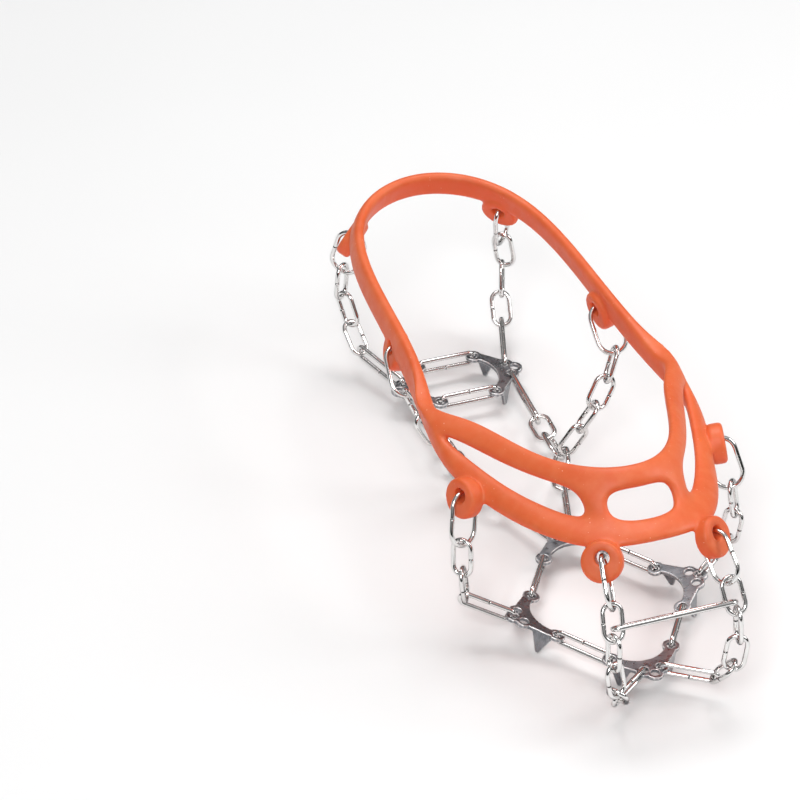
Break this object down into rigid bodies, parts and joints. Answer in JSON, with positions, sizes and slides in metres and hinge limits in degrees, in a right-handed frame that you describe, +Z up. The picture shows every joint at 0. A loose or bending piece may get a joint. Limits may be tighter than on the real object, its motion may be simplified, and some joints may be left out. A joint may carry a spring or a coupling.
{
  "type": "shoe ice cleats",
  "caption": "Slip-on ice cleat for one shoe: a stretchy harness with eyelets, hung with steel chain, a toe bar and a net of spiked steel plates under the sole.",
  "frame": {"origin": "on the plane that the shoe's outsole rests on, midway between the sides, near the middle of the sole's length", "axes": "-Y towards the toe, +Z up through the foot opening, +X towards the wearer's left; left and right are mirror images"},
  "size_m": [0.1256, 0.279, 0.0865],
  "materials": {
    "elastomer": "moulded orange elastomer, satin",
    "wire_steel": "polished stainless wire with butt seams",
    "plate_steel": "dark stamped stainless plate"
  },
  "bodies": {
    "arch_link_1_left": {"arch_link_1_left": "wire_steel"},
    "arch_link_1_right": {"arch_link_1_right": "wire_steel"},
    "arch_link_2_left": {"arch_link_2_left": "wire_steel"},
    "arch_link_2_right": {"arch_link_2_right": "wire_steel"},
    "ball_hook_left": {"ball_hook_left": "wire_steel"},
    "ball_hook_right": {"ball_hook_right": "wire_steel"},
    "ball_link_1_left": {"ball_link_1_left": "wire_steel"},
    "ball_link_1_right": {"ball_link_1_right": "wire_steel"},
    "ball_link_2_left": {"ball_link_2_left": "wire_steel"},
    "ball_link_2_right": {"ball_link_2_right": "wire_steel"},
    "ball_long_link_left": {"ball_long_link_left": "wire_steel"},
    "ball_long_link_right": {"ball_long_link_right": "wire_steel"},
    "front_net_link_left": {"front_net_link_left": "wire_steel"},
    "front_net_link_right": {"front_net_link_right": "wire_steel"},
    "front_plate": {"front_plate": "plate_steel"},
    "harness": {"harness": "elastomer"},
    "heel_link_1_left": {"heel_link_1_left": "wire_steel"},
    "heel_link_1_right": {"heel_link_1_right": "wire_steel"},
    "heel_link_2_left": {"heel_link_2_left": "wire_steel"},
    "heel_link_2_right": {"heel_link_2_right": "wire_steel"},
    "heel_long_link_left": {"heel_long_link_left": "wire_steel"},
    "heel_long_link_right": {"heel_long_link_right": "wire_steel"},
    "heel_net_link_front": {"heel_net_link_front": "wire_steel"},
    "heel_net_link_rear": {"heel_net_link_rear": "wire_steel"},
    "heel_plate_left": {"heel_plate_left": "plate_steel"},
    "heel_plate_right": {"heel_plate_right": "plate_steel"},
    "heel_rear_long_link_left": {"heel_rear_long_link_left": "wire_steel"},
    "heel_rear_long_link_right": {"heel_rear_long_link_right": "wire_steel"},
    "mid_hook_left": {"mid_hook_left": "wire_steel"},
    "mid_hook_right": {"mid_hook_right": "wire_steel"},
    "mid_link_1_left": {"mid_link_1_left": "wire_steel"},
    "mid_link_1_right": {"mid_link_1_right": "wire_steel"},
    "mid_link_2_left": {"mid_link_2_left": "wire_steel"},
    "mid_link_2_right": {"mid_link_2_right": "wire_steel"},
    "mid_link_pair_left": {"mid_link_pair_left": "wire_steel"},
    "mid_link_pair_right": {"mid_link_pair_right": "wire_steel"},
    "rear_hook_left": {"rear_hook_left": "wire_steel"},
    "rear_hook_right": {"rear_hook_right": "wire_steel"},
    "rear_link_chain_left": {"rear_link_chain_left": "wire_steel"},
    "rear_link_chain_right": {"rear_link_chain_right": "wire_steel"},
    "rear_long_link_left": {"rear_long_link_left": "wire_steel"},
    "rear_long_link_right": {"rear_long_link_right": "wire_steel"},
    "rear_net_link_left": {"rear_net_link_left": "wire_steel"},
    "rear_net_link_right": {"rear_net_link_right": "wire_steel"},
    "rear_plate": {"rear_plate": "plate_steel"},
    "side_plate_left": {"side_plate_left": "plate_steel"},
    "side_plate_right": {"side_plate_right": "plate_steel"},
    "toe_crossbar": {"toe_crossbar": "wire_steel"},
    "toe_hook_left": {"toe_hook_left": "wire_steel"},
    "toe_hook_right": {"toe_hook_right": "wire_steel"},
    "toe_link_1_left": {"toe_link_1_left": "wire_steel"},
    "toe_link_1_right": {"toe_link_1_right": "wire_steel"},
    "toe_link_2_left": {"toe_link_2_left": "wire_steel"},
    "toe_link_2_right": {"toe_link_2_right": "wire_steel"},
    "toe_link_3_left": {"toe_link_3_left": "wire_steel"},
    "toe_link_3_right": {"toe_link_3_right": "wire_steel"},
    "toe_link_4_left": {"toe_link_4_left": "wire_steel"},
    "toe_link_4_right": {"toe_link_4_right": "wire_steel"},
    "toe_long_link_left": {"toe_long_link_left": "wire_steel"},
    "toe_long_link_right": {"toe_long_link_right": "wire_steel"}
  },
  "joints": [
    {"name": "arch_link_1_left_twist", "type": "hinge", "parent": "harness", "child": "arch_link_1_left", "pos_m": [0.01542, 0.01877, -0.00422], "axis": [0.3451, 0.9383, -0.02], "range_deg": [-6, 6]},
    {"name": "arch_link_1_right_twist", "type": "hinge", "parent": "harness", "child": "arch_link_1_right", "pos_m": [-0.01542, 0.01877, -0.00422], "axis": [-0.3451, 0.9383, -0.02], "range_deg": [-6, 6]},
    {"name": "arch_link_2_left_twist", "type": "hinge", "parent": "harness", "child": "arch_link_2_left", "pos_m": [0.01967, 0.03031, -0.00447], "axis": [0.3451, 0.9383, -0.02], "range_deg": [-6, 6]},
    {"name": "arch_link_2_right_twist", "type": "hinge", "parent": "harness", "child": "arch_link_2_right", "pos_m": [-0.01967, 0.03031, -0.00447], "axis": [-0.3451, 0.9383, -0.02], "range_deg": [-6, 6]},
    {"name": "ball_hook_left_swing", "type": "hinge", "parent": "harness", "child": "ball_hook_left", "pos_m": [0.05545, -0.04224, 0.03868], "axis": [0.214, -0.4523, -0.8658], "range_deg": [-6, 6]},
    {"name": "ball_hook_right_swing", "type": "hinge", "parent": "harness", "child": "ball_hook_right", "pos_m": [-0.05545, -0.04224, 0.03868], "axis": [-0.214, -0.4523, -0.8658], "range_deg": [-6, 6]},
    {"name": "ball_link_1_left_twist", "type": "hinge", "parent": "harness", "child": "ball_link_1_left", "pos_m": [0.05787, -0.04828, 0.02473], "axis": [0.0672, -0.2939, -0.9535], "range_deg": [-10, 10]},
    {"name": "ball_link_1_right_twist", "type": "hinge", "parent": "harness", "child": "ball_link_1_right", "pos_m": [-0.05787, -0.04828, 0.02473], "axis": [-0.0672, -0.2939, -0.9535], "range_deg": [-10, 10]},
    {"name": "ball_link_2_left_twist", "type": "hinge", "parent": "harness", "child": "ball_link_2_left", "pos_m": [0.05726, -0.05028, 0.01281], "axis": [-0.1666, -0.0319, -0.9855], "range_deg": [-10, 10]},
    {"name": "ball_link_2_right_twist", "type": "hinge", "parent": "harness", "child": "ball_link_2_right", "pos_m": [-0.05726, -0.05028, 0.01281], "axis": [0.1666, -0.0319, -0.9855], "range_deg": [-10, 10]},
    {"name": "ball_long_link_left_twist", "type": "hinge", "parent": "harness", "child": "ball_long_link_left", "pos_m": [0.04892, -0.05475, 0.00281], "axis": [-0.8215, -0.4904, -0.2911], "range_deg": [-2, 2]},
    {"name": "ball_long_link_right_twist", "type": "hinge", "parent": "harness", "child": "ball_long_link_right", "pos_m": [-0.04892, -0.05475, 0.00281], "axis": [0.8215, -0.4904, -0.2911], "range_deg": [-2, 2]},
    {"name": "front_net_link_left_twist", "type": "hinge", "parent": "harness", "child": "front_net_link_left", "pos_m": [0.0198, -0.08305, -0.0036], "axis": [0.5732, 0.8194, 0], "range_deg": [-6, 6]},
    {"name": "front_net_link_right_twist", "type": "hinge", "parent": "harness", "child": "front_net_link_right", "pos_m": [-0.0198, -0.08305, -0.0036], "axis": [-0.5732, 0.8194, 0], "range_deg": [-6, 6]},
    {"name": "front_plate_rock", "type": "hinge", "parent": "harness", "child": "front_plate", "pos_m": [0, -0.0932, -0.0036], "axis": [-1, 0, 0], "range_deg": [-2, 2]},
    {"name": "heel_link_1_left_twist", "type": "hinge", "parent": "harness", "child": "heel_link_1_left", "pos_m": [0.0211, 0.04217, -0.00544], "axis": [0.0382, 0.9986, 0.037], "range_deg": [-6, 6]},
    {"name": "heel_link_1_right_twist", "type": "hinge", "parent": "harness", "child": "heel_link_1_right", "pos_m": [-0.0211, 0.04217, -0.00544], "axis": [-0.0382, 0.9986, 0.037], "range_deg": [-6, 6]},
    {"name": "heel_link_2_left_twist", "type": "hinge", "parent": "harness", "child": "heel_link_2_left", "pos_m": [0.02157, 0.05445, -0.00498], "axis": [0.0382, 0.9986, 0.037], "range_deg": [-10, 10]},
    {"name": "heel_link_2_right_twist", "type": "hinge", "parent": "harness", "child": "heel_link_2_right", "pos_m": [-0.02157, 0.05445, -0.00498], "axis": [-0.0382, 0.9986, 0.037], "range_deg": [-10, 10]},
    {"name": "heel_long_link_left_twist", "type": "hinge", "parent": "harness", "child": "heel_long_link_left", "pos_m": [0.02238, 0.07562, -0.0042], "axis": [0.0382, 0.9986, 0.037], "range_deg": [-6, 6]},
    {"name": "heel_long_link_right_twist", "type": "hinge", "parent": "harness", "child": "heel_long_link_right", "pos_m": [-0.02238, 0.07562, -0.0042], "axis": [-0.0382, 0.9986, 0.037], "range_deg": [-6, 6]},
    {"name": "heel_net_link_front_twist", "type": "hinge", "parent": "harness", "child": "heel_net_link_front", "pos_m": [0, 0.0825, -0.0036], "axis": [1, 0, 0], "range_deg": [-6, 6]},
    {"name": "heel_net_link_rear_twist", "type": "hinge", "parent": "harness", "child": "heel_net_link_rear", "pos_m": [0, 0.1079, -0.0036], "axis": [1, 0, 0], "range_deg": [-6, 6]},
    {"name": "heel_plate_left_rock", "type": "hinge", "parent": "harness", "child": "heel_plate_left", "pos_m": [0.0127, 0.0952, -0.0036], "axis": [0, -1, 0], "range_deg": [-2, 2]},
    {"name": "heel_plate_right_rock", "type": "hinge", "parent": "harness", "child": "heel_plate_right", "pos_m": [-0.0127, 0.0952, -0.0036], "axis": [0, 1, 0], "range_deg": [-2, 2]},
    {"name": "heel_rear_long_link_left_twist", "type": "hinge", "parent": "harness", "child": "heel_rear_long_link_left", "pos_m": [0.0277, 0.11195, -0.00243], "axis": [-0.3312, -0.9406, -0.0741], "range_deg": [-6, 6]},
    {"name": "heel_rear_long_link_right_twist", "type": "hinge", "parent": "harness", "child": "heel_rear_long_link_right", "pos_m": [-0.0277, 0.11195, -0.00243], "axis": [0.3312, -0.9406, -0.0741], "range_deg": [-6, 6]},
    {"name": "mid_hook_left_swing", "type": "hinge", "parent": "harness", "child": "mid_hook_left", "pos_m": [0.0451, 0.04843, 0.04422], "axis": [0.0517, -0.7655, -0.6414], "range_deg": [-6, 6]},
    {"name": "mid_hook_right_swing", "type": "hinge", "parent": "harness", "child": "mid_hook_right", "pos_m": [-0.0451, 0.04843, 0.04422], "axis": [-0.0517, -0.7655, -0.6414], "range_deg": [-6, 6]},
    {"name": "mid_link_1_left_twist", "type": "hinge", "parent": "harness", "child": "mid_link_1_left", "pos_m": [0.04318, 0.03918, 0.03303], "axis": [-0.3916, -0.3455, -0.8528], "range_deg": [-10, 10]},
    {"name": "mid_link_1_right_twist", "type": "hinge", "parent": "harness", "child": "mid_link_1_right", "pos_m": [-0.04318, 0.03918, 0.03303], "axis": [0.3916, -0.3455, -0.8528], "range_deg": [-10, 10]},
    {"name": "mid_link_2_left_twist", "type": "hinge", "parent": "harness", "child": "mid_link_2_left", "pos_m": [0.03786, 0.03581, 0.02248], "axis": [-0.4729, -0.2006, -0.858], "range_deg": [-10, 10]},
    {"name": "mid_link_2_right_twist", "type": "hinge", "parent": "harness", "child": "mid_link_2_right", "pos_m": [-0.03786, 0.03581, 0.02248], "axis": [0.4729, -0.2006, -0.858], "range_deg": [-10, 10]},
    {"name": "mid_link_pair_left_twist", "type": "hinge", "parent": "harness", "child": "mid_link_pair_left", "pos_m": [0.02881, 0.03406, 0.00724], "axis": [-0.5245, -0.0153, -0.8513], "range_deg": [-10, 10]},
    {"name": "mid_link_pair_right_twist", "type": "hinge", "parent": "harness", "child": "mid_link_pair_right", "pos_m": [-0.02881, 0.03406, 0.00724], "axis": [0.5245, -0.0153, -0.8513], "range_deg": [-10, 10]},
    {"name": "rear_hook_left_swing", "type": "hinge", "parent": "harness", "child": "rear_hook_left", "pos_m": [0.03463, 0.13578, 0.04189], "axis": [0.1699, 0.1853, -0.9679], "range_deg": [-6, 6]},
    {"name": "rear_hook_right_swing", "type": "hinge", "parent": "harness", "child": "rear_hook_right", "pos_m": [-0.03463, 0.13578, 0.04189], "axis": [-0.1699, 0.1853, -0.9679], "range_deg": [-6, 6]},
    {"name": "rear_link_chain_left_twist", "type": "hinge", "parent": "harness", "child": "rear_link_chain_left", "pos_m": [0.03446, 0.13159, 0.01572], "axis": [-0.1112, -0.3698, -0.9224], "range_deg": [-10, 10]},
    {"name": "rear_link_chain_right_twist", "type": "hinge", "parent": "harness", "child": "rear_link_chain_right", "pos_m": [-0.03446, 0.13159, 0.01572], "axis": [0.1112, -0.3698, -0.9224], "range_deg": [-10, 10]},
    {"name": "rear_long_link_left_twist", "type": "hinge", "parent": "harness", "child": "rear_long_link_left", "pos_m": [0.00853, -0.0014, -0.00386], "axis": [0.3143, 0.9492, -0.0159], "range_deg": [-6, 6]},
    {"name": "rear_long_link_right_twist", "type": "hinge", "parent": "harness", "child": "rear_long_link_right", "pos_m": [-0.00853, -0.0014, -0.00386], "axis": [-0.3143, 0.9492, -0.0159], "range_deg": [-6, 6]},
    {"name": "rear_net_link_left_twist", "type": "hinge", "parent": "harness", "child": "rear_net_link_left", "pos_m": [0.0198, -0.03735, -0.0036], "axis": [-0.5732, 0.8194, 0], "range_deg": [-6, 6]},
    {"name": "rear_net_link_right_twist", "type": "hinge", "parent": "harness", "child": "rear_net_link_right", "pos_m": [-0.0198, -0.03735, -0.0036], "axis": [0.5732, 0.8194, 0], "range_deg": [-6, 6]},
    {"name": "rear_plate_rock", "type": "hinge", "parent": "harness", "child": "rear_plate", "pos_m": [0, -0.0272, -0.0036], "axis": [1, 0, 0], "range_deg": [-2, 2]},
    {"name": "side_plate_left_rock", "type": "hinge", "parent": "harness", "child": "side_plate_left", "pos_m": [0.0269, -0.0602, -0.0036], "axis": [0, -1, 0], "range_deg": [-1, 1]},
    {"name": "side_plate_right_rock", "type": "hinge", "parent": "harness", "child": "side_plate_right", "pos_m": [-0.0269, -0.0602, -0.0036], "axis": [0, 1, 0], "range_deg": [-1, 1]},
    {"name": "toe_crossbar_lift", "type": "hinge", "parent": "harness", "child": "toe_crossbar", "pos_m": [0, -0.11789, 0.03444], "axis": [1, 0, 0], "range_deg": [-8, 8]},
    {"name": "toe_hook_left_swing", "type": "hinge", "parent": "harness", "child": "toe_hook_left", "pos_m": [0.02344, -0.1059, 0.04745], "axis": [0.1086, -0.7601, -0.6407], "range_deg": [-6, 6]},
    {"name": "toe_hook_right_swing", "type": "hinge", "parent": "harness", "child": "toe_hook_right", "pos_m": [-0.02344, -0.1059, 0.04745], "axis": [-0.1086, -0.7601, -0.6407], "range_deg": [-6, 6]},
    {"name": "toe_link_1_left_twist", "type": "hinge", "parent": "harness", "child": "toe_link_1_left", "pos_m": [0.0251, -0.1165, 0.03643], "axis": [0.1044, -0.5683, -0.8162], "range_deg": [-4, 4]},
    {"name": "toe_link_1_right_twist", "type": "hinge", "parent": "harness", "child": "toe_link_1_right", "pos_m": [-0.0251, -0.1165, 0.03643], "axis": [-0.1044, -0.5683, -0.8162], "range_deg": [-4, 4]},
    {"name": "toe_link_2_left_twist", "type": "hinge", "parent": "harness", "child": "toe_link_2_left", "pos_m": [0.02592, -0.12109, 0.02538], "axis": [0.0292, -0.179, -0.9834], "range_deg": [-10, 10]},
    {"name": "toe_link_2_right_twist", "type": "hinge", "parent": "harness", "child": "toe_link_2_right", "pos_m": [-0.02592, -0.12109, 0.02538], "axis": [-0.0292, -0.179, -0.9834], "range_deg": [-10, 10]},
    {"name": "toe_link_3_left_twist", "type": "hinge", "parent": "harness", "child": "toe_link_3_left", "pos_m": [0.02502, -0.12292, 0.01327], "axis": [-0.1746, -0.1167, -0.9777], "range_deg": [-10, 10]},
    {"name": "toe_link_3_right_twist", "type": "hinge", "parent": "harness", "child": "toe_link_3_right", "pos_m": [-0.02502, -0.12292, 0.01327], "axis": [0.1746, -0.1167, -0.9777], "range_deg": [-10, 10]},
    {"name": "toe_link_4_left_twist", "type": "hinge", "parent": "harness", "child": "toe_link_4_left", "pos_m": [0.02217, -0.12009, 0.00266], "axis": [-0.2928, 0.5804, -0.7599], "range_deg": [-10, 10]},
    {"name": "toe_link_4_right_twist", "type": "hinge", "parent": "harness", "child": "toe_link_4_right", "pos_m": [-0.02217, -0.12009, 0.00266], "axis": [0.2928, 0.5804, -0.7599], "range_deg": [-10, 10]},
    {"name": "toe_long_link_left_twist", "type": "hinge", "parent": "harness", "child": "toe_long_link_left", "pos_m": [0.01269, -0.11036, -0.00328], "axis": [-0.8073, 0.5899, -0.0146], "range_deg": [-6, 6]},
    {"name": "toe_long_link_right_twist", "type": "hinge", "parent": "harness", "child": "toe_long_link_right", "pos_m": [-0.01269, -0.11036, -0.00328], "axis": [0.8073, 0.5899, -0.0146], "range_deg": [-6, 6]}
  ]
}
